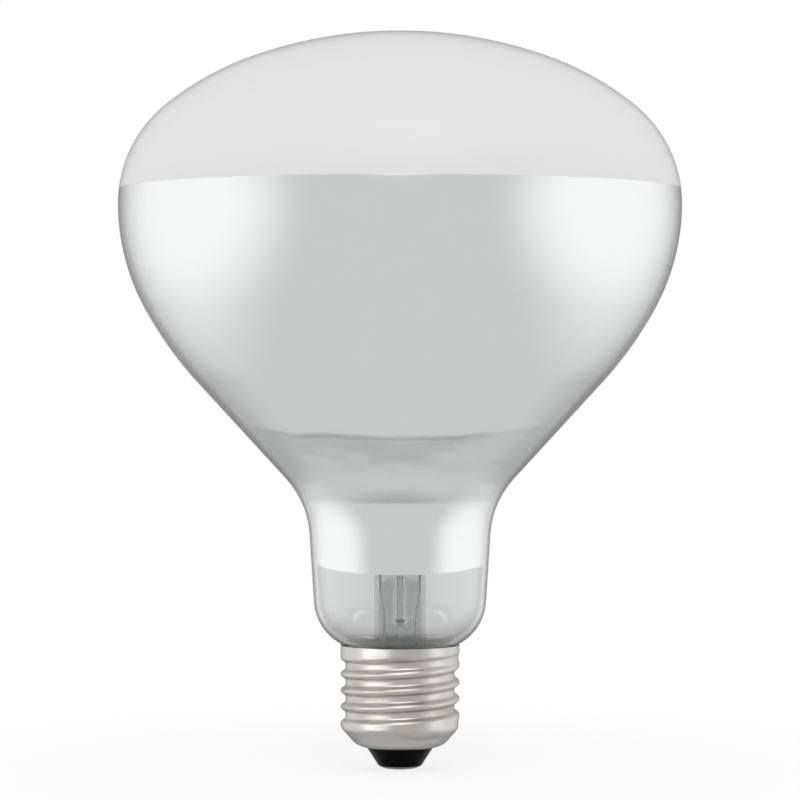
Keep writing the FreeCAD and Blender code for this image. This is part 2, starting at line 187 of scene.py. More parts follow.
class FilamentSizes(bpy.types.PropertyGroup):
    """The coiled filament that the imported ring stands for"""

    ring: length("Ring", "Radius of the ring that the coil is bent to", 11.0)
    coil: length("Coil", "Radius of the coil", 0.6)
    wire: length("Wire", "Radius of the tungsten wire", 0.1)
    wire_sides: count("Wire sides", "Faces round the wire", 6)
    gap: angle("Gap", "Opening of the ring", 70.0)
    turns: count("Turns", "Turns of the coil", 150)
    turn_steps: count("Turn steps", "Rows of faces in one turn of the coil", 14)


class Finishes(bpy.types.PropertyGroup):
    """The colours of the lamp's materials"""

    glass: colour("Glass", "Clear glass of bowl and neck", 0.975, 0.985, 0.98)
    satin: colour("Satin", "Satin face", 0.805, 0.805, 0.805)
    film: colour("Film", "Aluminium film", 0.9, 0.905, 0.9)
    # Darker film along the thin line on the cone, and painted shade in the band below it, standing
    # for the reflected shadow of the lamp
    film_thin_and_shaded: colour("Worn film", "Film where it is thin", 0.55, 0.555, 0.56)
    nickel: colour("Nickel", "Satin nickel of the cap", 0.6, 0.57, 0.545)
    nickel_stain: colour("Nickel stain", "Brownish stains on the nickel", 0.46, 0.42, 0.39)
    black: colour("Black glass", "Black glass of the cap's bottom", 0.001, 0.001, 0.0015)
    tin: colour("Tin", "Contact plate", 0.38, 0.38, 0.39)
    solder: colour("Solder", "Solder drops", 0.5, 0.5, 0.52)
    cement: colour("Cement", "Basing cement", 0.93, 0.92, 0.9)
    stem: colour("Stem glass", "Greyish glass of the stem", 0.43, 0.45, 0.47)
    copper: colour("Copper", "Copper-clad seal wires", 0.5, 0.42, 0.38)
    lead: colour("Lead wire", "Tinned outer leads", 0.74, 0.72, 0.7)
    wire: colour("Nickel wire", "Inner leads", 0.6, 0.58, 0.54)
    tungsten: colour("Tungsten", "Filament", 0.2, 0.2, 0.21)
    molybdenum: colour("Molybdenum", "Filament supports", 0.4, 0.4, 0.42)


class StudioSettings(bpy.types.PropertyGroup):
    """Floor, surroundings and camera"""

    floor: colour("Floor", "Colour of the floor", 0.66, 0.66, 0.66)
    floor_radius: length("Floor radius", "Radius of the floor", 170.0)
    floor_gap: length("Floor gap", "Room between the floor and the lamp", 0.2)
    floor_sides: count("Floor sides", "Edges round the floor", 128)
    floor_white: share("Floor white", "How far the camera sees the floor as plain white", 0.8)
    wall: strength("Wall", "Brightness of the plain surroundings", 0.67)
    side_light: strength("Side light", "Added brightness of the two side lights", 0.4)
    side_azimuth: angle("Side azimuth", "Direction of the side lights, from the camera", 97.0)
    side_edge: angle("Side edge", "How far a side light's glow reaches", 62.0)
    side_core: angle("Side core", "How far a side light is at its full brightness", 18.0)
    side_steep: strength("Side steepness", "How much flatter than round its glow is", 1.4)
    front_light: strength("Front light", "Added brightness of the light in front", 1.5)
    front_height: angle("Front height", "Height of that light above the horizon", 47.0)
    front_edge: angle("Front edge", "How far its glow reaches", 34.0)
    back_shade: strength("Back shade", "How much dimmer the room is round the lit backdrop", 0.34)
    backdrop: angle("Backdrop", "Half the width of the lit backdrop", 8.0)
    low_shade: strength("Low shade", "How much dimmer it is low behind the lamp", 0.23)
    cap_light: FloatProperty(
        name="Cap light",
        description="Power of the soft lamps for the cap",
        default=0.34,
        min=0.0,
        unit="POWER",
    )
    eye_level: length("Eye level", "Height of the camera", 90.5)
    aim_level: length("Aim level", "Level on the lamp's axis that the camera is aimed at", 81.7)
    distance: length("Distance", "From the lamp's axis to the camera", 720.0)
    lens: FloatProperty(
        name="Lens",
        description="Focal length of the camera",
        default=146.25,
        min=1.0,
        subtype="DISTANCE_CAMERA",
        unit="CAMERA",
    )


# Modelling with edit-mode tools

def facing(turn):
    """The unit vector at an angle above the horizontal, in the plane of a section."""
    return Vector((math.cos(turn), 0.0, math.sin(turn)))


def at(radius, level):
    """A point of a section."""
    return Vector((radius, 0.0, level))


def crossing(turn_a, point_a, turn_b, point_b, apart):
    """Where two lines of a section cross, both first moved along their normals by apart."""
    a, b = facing(turn_a), facing(turn_b)
    reach_a = a.dot(point_a) + apart
    reach_b = b.dot(point_b) + apart
    spread = a.x * b.z - b.x * a.z
    return at((reach_a * b.z - reach_b * a.z) / spread, (a.x * reach_b - b.x * reach_a) / spread)


def start_section(name, point):
    """A new mesh in edit mode that holds one selected vertex."""
    bpy.ops.object.select_all(action="DESELECT")
    bpy.ops.mesh.primitive_plane_add(size=MM)
    piece = bpy.context.object
    piece.name = piece.data.name = name
    bpy.ops.object.mode_set(mode="EDIT")
    bpy.ops.mesh.select_all(action="SELECT")
    bpy.ops.mesh.merge(type="CENTER")
    bpy.ops.transform.translate(value=point)
    return point


def bend_on(end, centre, turn, row):
    """Spins the section's end round a centre, and returns the new end.

    A positive turn goes clockwise, as seen from -Y.
    """
    steps = max(3, math.ceil(abs(turn) * (end - centre).length / row))
    bpy.ops.mesh.spin(steps=steps, angle=turn, center=centre, axis=(0, -1, 0))
    away = end - centre
    reach = math.atan2(away.z, away.x) - turn
    return centre + facing(reach) * away.length


def draw_on(end, point, row):
    """Extrudes the section's end in even steps to a point, and returns it."""
    steps = max(1, math.ceil((point - end).length / row))
    for _ in range(steps):
        bpy.ops.mesh.extrude_vertices_move(TRANSFORM_OT_translate={"value": (point - end) / steps})
    return point


def turn_section(segments):
    """Spins the whole section round the lamp's axis and closes its seam and poles."""
    bpy.ops.mesh.select_all(action="SELECT")
    bpy.ops.mesh.spin(steps=segments, angle=2 * math.pi, center=(0, 0, 0), axis=(0, 0, 1))
    bpy.ops.mesh.select_all(action="SELECT")
    bpy.ops.mesh.remove_doubles(threshold=0.001 * MM)
    bpy.ops.mesh.normals_make_consistent(inside=False)


def cut_at(level, slant=0.0, keep_above=None):
    """Cuts the mesh in edit mode at a level, and may drop one side of the cut.

    The plane of the cut may slant up towards the back.
    """
    bpy.ops.mesh.select_all(action="SELECT")
    bpy.ops.mesh.bisect(
        plane_co=(0, 0, level),
        plane_no=(0, -math.sin(slant), math.cos(slant)),
        clear_inner=keep_above is True,
        clear_outer=keep_above is False,
    )


def thicken(piece, thickness):
    """Gives an open skin its wall, inwards, with even thickness."""
    wall = piece.modifiers.new("wall", "SOLIDIFY")
    wall.thickness = thickness
    wall.offset = -1.0
    wall.use_even_offset = True
    bpy.ops.object.modifier_apply(modifier=wall.name)


def smooth(piece, sharp=35.0):
    """Shades a piece smooth, apart from edges that turn by more than sharp degrees."""
    bpy.ops.object.select_all(action="DESELECT")
    piece.select_set(True)
    bpy.context.view_layer.objects.active = piece
    bpy.ops.object.shade_smooth_by_angle(angle=math.radians(sharp))


def finish_piece(piece, slot, *nodes):
    """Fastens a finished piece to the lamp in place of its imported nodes."""
    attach(piece, "root")
    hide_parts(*nodes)


# Materials

def add_node(tree, kind, inputs=None, **settings):
    """A new node; an input is given as a value, or as the socket that feeds it."""
    node = tree.nodes.new(kind)
    for key, value in settings.items():
        setattr(node, key, value)
    for key, value in (inputs or {}).items():
        if isinstance(value, bpy.types.NodeSocket):
            tree.links.new(value, node.inputs[key])
        else:
            node.inputs[key].default_value = value
    return node


def maths(tree, operation, *values, clamp=False):
    """What a sum on numbers and sockets gives."""
    inputs = dict(enumerate(values))
    return add_node(tree, "ShaderNodeMath", inputs, operation=operation, use_clamp=clamp).outputs[0]


def change(tree, value, start, end, low=0.0, high=1.0, shape="SMOOTHSTEP"):
    """A value that goes from low to high while another one goes from start to end."""
    limits = {"From Min": start, "From Max": end, "To Min": low, "To Max": high}
    inputs = {"Value": value, **limits}
    return add_node(tree, "ShaderNodeMapRange", inputs, interpolation_type=shape).outputs["Result"]


def mixed(tree, share_of_second, first, second):
    """Two shaders, mixed."""
    inputs = {0: share_of_second, 1: first.outputs[0], 2: second.outputs[0]}
    return add_node(tree, "ShaderNodeMixShader", inputs)


def shared_effect(name, inputs, outputs):
    """An empty node group with named sockets, its input and output nodes."""
    group = bpy.data.node_groups.new(name, "ShaderNodeTree")
    for key, kind, default in inputs:
        socket = group.interface.new_socket(key, in_out="INPUT", socket_type=kind)
        if default is not None:
            socket.default_value = default
    for key, kind in outputs:
        group.interface.new_socket(key, in_out="OUTPUT", socket_type=kind)
    given = group.nodes.new("NodeGroupInput").outputs
    return group, given, group.nodes.new("NodeGroupOutput").inputs


def mottle_effect():
    """Soft uneven patches, from 0 to 1, which may be drawn out round the lamp."""
    group, given, out = shared_effect(
        "mottle",
        [
            ("Vector", "NodeSocketVector", None),
            ("Patches per metre", "NodeSocketFloat", 100.0),
            ("Drawn out", "NodeSocketFloat", 1.0),
            ("Detail", "NodeSocketFloat", 3.0),
            ("Low", "NodeSocketFloat", 0.35),
            ("High", "NodeSocketFloat", 0.65),
        ],
        [("Mask", "NodeSocketFloat")],
    )
    parts = add_node(group, "ShaderNodeSeparateXYZ", {"Vector": given["Vector"]}).outputs
    across = maths(group, "DIVIDE", parts["X"], given["Drawn out"])
    along = maths(group, "DIVIDE", parts["Y"], given["Drawn out"])
    place = add_node(group, "ShaderNodeCombineXYZ", {"X": across, "Y": along, "Z": parts["Z"]})
    noise = add_node(
        group,
        "ShaderNodeTexNoise",
        {
            "Vector": place.outputs[0],
            "Scale": given["Patches per metre"],
            "Detail": given["Detail"],
            "Roughness": 0.55,
        },
    )
    mask = change(group, noise.outputs["Fac"], given["Low"], given["High"])
    group.links.new(mask, out["Mask"])


def blend_effect():
    """A colour and a roughness that change together with a mask."""
    group, given, out = shared_effect(
        "blend",
        [
            ("Mask", "NodeSocketFloat", 0.0),
            ("Colour", "NodeSocketColor", None),
            ("Second colour", "NodeSocketColor", None),
            ("Roughness", "NodeSocketFloat", 0.3),
            ("Second roughness", "NodeSocketFloat", 0.4),
        ],
        [("Colour", "NodeSocketColor"), ("Roughness", "NodeSocketFloat")],
    )
    tint = add_node(
        group,
        "ShaderNodeMix",
        {0: given["Mask"], 6: given["Colour"], 7: given["Second colour"]},
        data_type="RGBA",
    )
    rough, second_rough = given["Roughness"], given["Second roughness"]
    gloss = change(group, given["Mask"], 0.0, 1.0, rough, second_rough, "LINEAR")
    group.links.new(tint.outputs[2], out["Colour"])
    group.links.new(gloss, out["Roughness"])


def place_effect(tree, name, inputs):
    """A shared effect placed in a material."""
    return add_node(tree, "ShaderNodeGroup", inputs, node_tree=bpy.data.node_groups[name])


def finish_named(name):
    """The material that the finishes step made under a name."""
    return bpy.data.materials[f"lamp_{name}"]


def new_material(name, plain):
    """A material with one shader, whose plain values are set on its own sockets."""
    material = bpy.data.materials.new(f"lamp_{name}")
    material.use_nodes = True
    tree = material.node_tree
    tree.nodes.clear()
    shader = add_node(tree, "ShaderNodeBsdfPrincipled", plain)
    add_node(tree, "ShaderNodeOutputMaterial", {"Surface": shader.outputs["BSDF"]})
    place = add_node(tree, "ShaderNodeTexCoord").outputs["Object"]
    return tree, shader, place


def patches(tree, place, per_metre, drawn_out=1.0, low=0.35, high=0.65, detail=3.0):
    """The mask of soft uneven patches, which may be drawn out round the lamp."""
    mask = place_effect(
        tree,
        "mottle",
        {
            "Vector": place,
            "Patches per metre": per_metre,
            "Drawn out": drawn_out,
            "Detail": detail,
            "Low": low,
            "High": high,
        },
    )
    return mask.outputs["Mask"]


def relief(tree, shader, height, depth):
    """Feeds a faint relief to a shader, with its depth in metres."""
    bump = add_node(tree, "ShaderNodeBump", {"Height": height, "Distance": depth, "Strength": 1.0})
    tree.links.new(bump.outputs["Normal"], shader.inputs["Normal"])


def coloured(tree, shader, mask, tint, second_tint, rough, second_rough):
    """Feeds a colour and a roughness that follow a mask to a shader."""
    look = place_effect(
        tree,
        "blend",
        {
            "Mask": mask,
            "Colour": (*tint, 1.0),
            "Second colour": (*second_tint, 1.0),
            "Roughness": rough,
            "Second roughness": second_rough,
        },
    )
    tree.links.new(look.outputs["Colour"], shader.inputs["Base Color"])
    tree.links.new(look.outputs["Roughness"], shader.inputs["Roughness"])


def scaled(tint, factor):
    """A colour made darker, or brighter as far as white."""
    return tuple(min(1.0, part * factor) for part in tint)


def clear(tint):
    """The plain values of clear glass."""
    return {"Base Color": (*tint, 1.0), "Transmission Weight": 1.0, "Roughness": 0.0, "IOR": 1.5}


def mottled_material(name, tint, darker, rough, second_rough, per_metre, depth=0.0, plain=None):
    """A finish that changes softly in colour and gloss, with a faint relief."""
    tree, shader, place = new_material(name, plain or {})
    mask = patches(tree, place, per_metre)
    coloured(tree, shader, mask, tint, scaled(tint, darker), rough, second_rough)
    if depth:
        relief(tree, shader, mask, depth)


def clear_glass_material(name, tint, per_metre, depth):
    """Clear glass with faint waves that are drawn out round the lamp."""
    tree, shader, place = new_material(name, clear(tint))
    waves = patches(tree, place, per_metre, drawn_out=6.0, low=0.2, high=0.8, detail=1.0)
    relief(tree, shader, waves, depth)


def nickel_material(finishes):
    """Satin nickel with stains that are drawn out round the cap, and fine grain."""
    tree, shader, place = new_material("satin_nickel", {"Metallic": 1.0})
    stains = patches(tree, place, 420.0, drawn_out=5.0, low=0.48, high=0.72)
    coloured(tree, shader, stains, finishes.nickel, finishes.nickel_stain, 0.29, 0.36)
    grain = patches(tree, place, 2500.0, drawn_out=3.0, low=0.2, high=0.8, detail=4.0)
    relief(tree, shader, grain, 0.004 * MM)


def film_material(finishes, sizes):
    """Bright aluminium film with a thin wavy line on the cone that slants up to the back; below the
    line the film is rougher and darkened with painted shade, a painted reflection of the lamp's
    shadow, in uneven blotches.
    """
    tree, shader, place = new_material("aluminium_film", {"Metallic": 1.0})
    parts = add_node(tree, "ShaderNodeSeparateXYZ", {"Vector": place}).outputs
    blotches = patches(tree, place, 90.0, drawn_out=3.0, low=0.42, high=0.62, detail=4.0)

    # The thin line, by the height above its middle
    wave = 4 * MM
    line_core, line_edge = 0.1 * MM, 1.3 * MM
    faintest, added = 0.3, 0.65
    waves = add_node(tree, "ShaderNodeTexNoise", {"Vector": place, "Scale": 75.0, "Detail": 4.0})
    back = maths(tree, "MULTIPLY", parts["Y"], -math.tan(sizes.line_slant))
    level = maths(tree, "ADD", parts["Z"], back)
    wavy = maths(tree, "MULTIPLY_ADD", waves.outputs["Fac"], wave, level)
    above = maths(tree, "ADD", wavy, -sizes.line_level - wave / 2)
    line = change(tree, maths(tree, "ABSOLUTE", above), line_core, line_edge, 1.0, 0.0)
    strong = maths(tree, "MULTIPLY_ADD", blotches, added, faintest)
    drawn = maths(tree, "MULTIPLY", line, strong)

    # The band below the line: rougher film darkened with painted shade, a painted reflection of the
    # lamp's shadow below, in uneven blotches; at its foot a darker painted shadow that is darkest
    # in the middle
    foot = sizes.shade_foot
    foot_edge, painted_shadow_start = foot + 0.5 * MM, foot + 0.8 * MM
    painted_shadow_end, dull_shade_end = foot + 4.5 * MM, foot + 11 * MM
    middle, side = 2 * MM, 12 * MM
    dull = change(tree, parts["Z"], painted_shadow_end, dull_shade_end, 0.05, 0.44)
    fade = change(tree, parts["Z"], painted_shadow_start, painted_shadow_end, 1.0, 0.0)
    painted_shadow = change(tree, maths(tree, "ABSOLUTE", parts["X"]), middle, side, 0.5, 0.16)
    both = maths(tree, "ADD", dull, maths(tree, "MULTIPLY", fade, painted_shadow))
    patchy = maths(tree, "MULTIPLY_ADD", blotches, 0.9, 0.6)
    tone = maths(tree, "MULTIPLY", both, patchy)
    edged = maths(tree, "MULTIPLY", tone, change(tree, parts["Z"], foot, foot_edge, shape="LINEAR"))
    below = change(tree, above, 0.0, -0.8 * MM, shape="LINEAR")
    band = maths(tree, "MULTIPLY", edged, below)

    # The mask darkens the film along the thin line, and with the painted shade of the band below it
    mask = maths(tree, "MAXIMUM", band, drawn, clamp=True)
    coloured(tree, shader, mask, finishes.film, finishes.film_thin_and_shaded, 0.05, 0.14)


def satin_material(finishes):
    """The frosted face, pale under a smooth skin, and clear as seen from within the wall."""
    skin = {"Coat Weight": 1.0, "Coat Roughness": 0.03, "Coat IOR": 1.27, "Specular IOR Level": 0.0}
    tree, shader, place = new_material("satin_glass", skin)
    mask = patches(tree, place, 35.0, low=0.3, high=0.7)
    coloured(tree, shader, mask, finishes.satin, scaled(finishes.satin, 0.985), 0.45, 0.5)
    see_through = add_node(tree, "ShaderNodeBsdfPrincipled", clear(finishes.glass))
    inside = add_node(tree, "ShaderNodeNewGeometry").outputs["Backfacing"]
    shown = mixed(tree, inside, shader, see_through)
    tree.links.new(shown.outputs[0], tree.nodes["Material Output"].inputs["Surface"])


class HEATLAMP_OT_finishes(bpy.types.Operator):
    """Mix the materials of glass, metals, solder and cement"""

    bl_idname = "heatlamp.finishes"
    bl_label = "Finishes"

    def execute(self, context):
        finishes = context.scene.heat_lamp_finishes
        mottle_effect()
        blend_effect()
        clear_glass_material("clear_glass", finishes.glass, 90.0, 0.01 * MM)
        clear_glass_material("exhaust_glass", finishes.glass, 260.0, 0.002 * MM)
        satin_material(finishes)
        film_material(finishes, context.scene.heat_lamp_bulb)
        nickel_material(finishes)
        thin = {"Alpha": 0.2}
        dark = {"Specular IOR Level": 0.05}
        metal = {"Metallic": 1.0}
        # Name, colour, its share in the patches, both roughnesses, patches per metre, relief
        for mottled in (
            ("stem_glass", finishes.stem, 0.75, 0.12, 0.25, 500.0, 0.01 * MM, thin),
            ("black_glass", finishes.black, 1.6, 0.08, 0.14, 300.0, 0.004 * MM, dark),
            ("tinned_plate", finishes.tin, 0.8, 0.34, 0.48, 900.0, 0.006 * MM, metal),
            ("solder", finishes.solder, 0.8, 0.3, 0.5, 700.0, 0.03 * MM, metal),
            ("cement", finishes.cement, 0.9, 0.9, 1.0, 900.0, 0.05 * MM),
            ("copper_wire", finishes.copper, 0.6, 0.35, 0.5, 800.0, 0.0, metal),
            ("lead_wire", finishes.lead, 0.7, 0.3, 0.45, 800.0, 0.0, metal),
            ("nickel_wire", finishes.wire, 0.8, 0.25, 0.4, 800.0, 0.0, metal),
            ("tungsten", finishes.tungsten, 0.7, 0.4, 0.55, 900.0, 0.0, metal),
            ("molybdenum", finishes.molybdenum, 0.8, 0.3, 0.4, 900.0, 0.0, metal),
        ):
            mottled_material(*mottled)
        return {"FINISHED"}


# Glass bulb

def draw_bulb(name, sizes, inset):
    """Draws the glass outline, moved inwards by inset, from the dome's middle down into the cap."""
    dome, crown = facing(sizes.dome_edge), facing(sizes.crown_start)
    middle = (sizes.widest - sizes.dome * dome.x - sizes.crown * (1 - crown.x)) / (crown.x - dome.x)
    turns = [
        (sizes.dome, math.pi / 2, sizes.dome_edge),
        (middle, sizes.dome_edge, sizes.crown_start),
        (sizes.crown, sizes.crown_start, 0.0),
        (sizes.upper_bowl, 0.0, -sizes.upper_bowl_end),
        (sizes.lower_bowl, -sizes.upper_bowl_end, -sizes.cone),
    ]
    outside = at(0.0, sizes.top)
    end = start_section(name, at(0.0, sizes.top - inset))
    for radius, first, last in turns:
        centre = outside - facing(first) * radius
        end = bend_on(end, centre, first - last, sizes.row)
        outside = centre + facing(last) * radius

    neck = at(sizes.neck, sizes.neck_level)
    rim = at(sizes.rim, sizes.rim_level)
    seal = at(sizes.seal, sizes.foot)
    throat = crossing(-sizes.cone, outside, -sizes.taper, neck, sizes.throat)
    shoulder = crossing(-sizes.taper, neck, -sizes.shoulder_end, rim, -sizes.shoulder)
    hollow = crossing(-sizes.shoulder_end, rim, 0.0, seal, sizes.hollow)
    bends = [
        (throat, -sizes.throat, -sizes.cone, -sizes.taper, sizes.row),
        (shoulder, sizes.shoulder, -sizes.taper, -sizes.shoulder_end, sizes.row / 2),
        (hollow, -sizes.hollow, -sizes.shoulder_end, 0.0, sizes.row / 4),
    ]
    for centre, reach, first, last, row in bends:
        end = draw_on(end, centre + facing(first) * (reach - inset), sizes.row)
        end = bend_on(end, centre, first - last, row)
    draw_on(end, at(sizes.seal - inset, sizes.foot), sizes.row)


class HEATLAMP_OT_glass(bpy.types.Operator):
    """Blow the glass bulb, with a satin face above its clear bowl and neck"""

    bl_idname = "heatlamp.glass"
    bl_label = "Glass bulb"

    def execute(self, context):
        sizes = context.scene.heat_lamp_bulb
        draw_bulb("glass_bulb", sizes, 0.0)
        turn_section(sizes.segments)
        satin_foot = sizes.film_top - sizes.overlap
        cut_at(satin_foot)
        bpy.ops.object.mode_set(mode="OBJECT")
        piece = context.object
        for name in ("clear_glass", "satin_glass"):
            piece.data.materials.append(finish_named(name))
        thicken(piece, sizes.wall)
        inside = at(0.0, sizes.film_foot)
        for face in piece.data.polygons:
            outer = face.normal.dot(face.center - inside) > 0
            face.material_index = int(outer and face.center.z > satin_foot)
        smooth(piece)
        finish_piece(piece, "bulb_glass", "glass_envelope")
        return {"FINISHED"}


class HEATLAMP_OT_film(bpy.types.Operator):
    """Coat the bowl's inside with the aluminium film, down to its slanting edge on the neck"""

    bl_idname = "heatlamp.film"
    bl_label = "Mirror film"

    def execute(self, context):
        sizes = context.scene.heat_lamp_bulb
        draw_bulb("mirror_film", sizes, sizes.wall + sizes.film_gap)
        turn_section(sizes.segments)
        cut_at(sizes.film_top, keep_above=False)
        cut_at(sizes.film_foot, sizes.film_slant, keep_above=True)
        bpy.ops.object.mode_set(mode="OBJECT")
        piece = context.object
        piece.data.materials.append(finish_named("aluminium_film"))
        thicken(piece, sizes.film)
        smooth(piece)
        finish_piece(piece, "mirror_film", "mirror_coating")
        return {"FINISHED"}


# Screw cap

def ease(step):
    """A smooth rise from 0 to 1."""
    step = min(max(step, 0.0), 1.0)
    return step * step * (3 - 2 * step)


def knuckle_depth(sizes, distance):
    """How far the rounded groove lies below the crests, at an axial distance from its middle."""
    flank = sizes.pitch / 4
    radius = sizes.knuckle
    if distance < flank:
        depth = 2 * (radius - math.sqrt(radius ** 2 - flank ** 2))
        return depth - radius + math.sqrt(radius ** 2 - distance ** 2)
    return radius - math.sqrt(radius ** 2 - (sizes.pitch / 2 - distance) ** 2)


def groove_depth(sizes, knee_level, level, turn):
    """The depth of the right-hand groove at a level, and at a share of a turn round the cap."""
    first = knee_level + sizes.groove_rise
    last = sizes.rim - sizes.collar
    rises = (level - first) / sizes.pitch
    wound = turn + round(rises - turn)
    pressed = ease((wound + sizes.groove_before) / sizes.groove_end)
    pressed *= ease(((last - first) / sizes.pitch - wound) / sizes.groove_end)
    pressed *= ease((last + sizes.pitch / 4 - level) / (sizes.pitch / 4))
    depth = knuckle_depth(sizes, abs(rises - wound) * sizes.pitch)
    deepest = knuckle_depth(sizes, 0.0)
    return pressed * deepest * (1 - (1 - depth / deepest) ** sizes.crest_sharpness)


def roll_thread(piece, sizes, knee_level):
    """Presses the groove into the turned sheet."""
    for vertex in piece.data.vertices:
        radius = math.hypot(vertex.co.x, vertex.co.y)
        turn = math.atan2(vertex.co.y, vertex.co.x) / (2 * math.pi) % 1.0
        left = 1 - groove_depth(sizes, knee_level, vertex.co.z, turn) / radius
        vertex.co.x *= left
        vertex.co.y *= left


def select_back(piece, half_width, foot):
    """Selects the faces at the back, between two sides and above a level, and enters edit mode."""
    bpy.ops.mesh.select_all(action="DESELECT")
    bpy.ops.object.mode_set(mode="OBJECT")
    for face in piece.data.polygons:
        middle = face.center
        face.select = middle.y > 0 and abs(middle.x) < half_width and middle.z > foot
    bpy.ops.object.mode_set(mode="EDIT")


def cut_notch(piece, sizes):
    """Cuts the notch for the side lead out of the rim at the back."""
    foot = sizes.rim - sizes.notch_depth
    half = sizes.notch / 2
    sideways, up = (1, 0, 0), (0, 0, 1)
    bpy.ops.object.mode_set(mode="EDIT")
    for point, normal in (((half, 0, 0), sideways), ((-half, 0, 0), sideways), ((0, 0, foot), up)):
        select_back(piece, 2 * sizes.notch, foot - half)
        bpy.ops.mesh.bisect(plane_co=point, plane_no=normal)
    select_back(piece, half, foot)
    bpy.ops.mesh.delete(type="FACE")
    bpy.ops.object.mode_set(mode="OBJECT")


class HEATLAMP_OT_cap(bpy.types.Operator):
    """Roll the cap's sheet: turned-in bowl, round right-hand thread and plain collar"""

    bl_idname = "heatlamp.cap"
    bl_label = "Screw cap"

    def execute(self, context):
        sizes = context.scene.heat_lamp_cap
        row = sizes.pitch / sizes.rows
        bowl = at(sizes.lip, sizes.lip_level + sizes.bowl)
        bowl_edge = bowl + facing(-sizes.bowl_end) * sizes.bowl
        knee = crossing(-sizes.bowl_end, bowl_edge, 0.0, at(sizes.radius, 0.0), -sizes.knee)
        end = start_section("screw_cap", at(sizes.lip, sizes.lip_level))
        end = bend_on(end, bowl, sizes.bowl_end - math.pi / 2, row)
        end = draw_on(end, knee + facing(-sizes.bowl_end) * sizes.knee, row)
        end = bend_on(end, knee, -sizes.bowl_end, row)
        draw_on(end, at(sizes.radius, sizes.rim), row)
        turn_section(sizes.segments)
        bpy.ops.object.mode_set(mode="OBJECT")
        piece = context.object
        roll_thread(piece, sizes, knee.z)
        cut_notch(piece, sizes)
        thicken(piece, sizes.sheet)
        smooth(piece, 50.0)
        piece.data.materials.append(finish_named("satin_nickel"))
        finish_piece(piece, "nickel_cap", "cap_shell")
        return {"FINISHED"}


def close_section(sizes, slot, material, node):
    """Turns a closed section into its solid and finishes the piece."""
    turn_section(sizes.segments)
    bpy.ops.object.mode_set(mode="OBJECT")
    piece = bpy.context.object
    piece.data.materials.append(finish_named(material))
    smooth(piece)
    finish_piece(piece, slot, node)


class HEATLAMP_OT_insulator(bpy.types.Operator):
    """Mould the black glass into the bottom of the cap"""

    bl_idname = "heatlamp.insulator"
    bl_label = "Black glass"

    def execute(self, context):
        sizes = context.scene.heat_lamp_cap
        play = 0.02 * MM
        row = 0.3 * MM
        bowl = at(sizes.lip, sizes.lip_level + sizes.bowl)
        inside = sizes.bowl - sizes.sheet - play
        lip = at(sizes.lip - play, sizes.lip_level)
        rounding = sizes.insulator_round
        toe = at(sizes.insulator_foot - rounding, sizes.insulator_level + rounding)
        slope = lip - at(sizes.insulator_foot, toe.z)
        outwards = math.atan2(-slope.x, slope.z)
        edge = bowl + facing(-sizes.bowl_end) * inside
        dish = at(5.5 * MM, edge.z - 0.8 * MM)
        end = start_section("black_glass", at(sizes.eyelet, sizes.insulator_level))
        end = draw_on(end, toe + facing(-math.pi / 2) * rounding, row)
        end = bend_on(end, toe, -math.pi / 2 - outwards, row / 4)
        end = draw_on(end, lip, row)
        end = draw_on(end, at(lip.x, bowl.z - inside), row)
        end = draw_on(end, at(bowl.x, bowl.z - inside), row)
        end = bend_on(end, bowl, sizes.bowl_end - math.pi / 2, row)
        end = draw_on(end, dish, row)
        end = draw_on(end, at(sizes.eyelet, dish.z), row)
        draw_on(end, at(sizes.eyelet, sizes.insulator_level), row)
        close_section(sizes, "black_glass", "black_glass", "cap_insulator")
        return {"FINISHED"}


class HEATLAMP_OT_contact(bpy.types.Operator):
    """Press the contact plate with its barrel, and flatten the solder on it"""

    bl_idname = "heatlamp.contact"
    bl_label = "Contact and solder"

    def execute(self, context):
        sizes = context.scene.heat_lamp_cap
        row = 0.2 * MM
        width = sizes.contact - sizes.contact_flat
        rise = sizes.insulator_level - sizes.contact_level
        rounding = (width ** 2 + rise ** 2) / (2 * rise)
        hole = sizes.eyelet - sizes.eyelet_sheet
        barrel_top = sizes.insulator_level + 2.6 * MM
        flat = at(sizes.contact_flat, sizes.contact_level)
        end = start_section("contact_plate", flat)
        end = bend_on(end, flat + at(0.0, rounding), -math.asin(width / rounding), row)
        for point in (
            at(sizes.eyelet, sizes.insulator_level),
            at(sizes.eyelet, barrel_top),
            at(hole, barrel_top),
            at(hole, sizes.contact_level),
            flat,
        ):
            end = draw_on(end, point, row)
        close_section(sizes, "contact_metal", "tinned_plate", "centre_contact")

        edge = 0.3 * MM
        fill_top = sizes.contact_level + sizes.solder_fill
        centre = at(sizes.solder - edge, edge)
        end = start_section("centre_drop", at(0.0, 0.0))
        end = draw_on(end, at(sizes.solder - edge, 0.0), row)
        end = bend_on(end, centre, -math.acos(1 - sizes.contact_level / edge), row / 8)
        for point in (at(hole, sizes.contact_level), at(hole, fill_top), at(0.0, fill_top)):
            end = draw_on(end, point, row)
        close_section(sizes, "solder", "solder", "centre_solder")
        return {"FINISHED"}


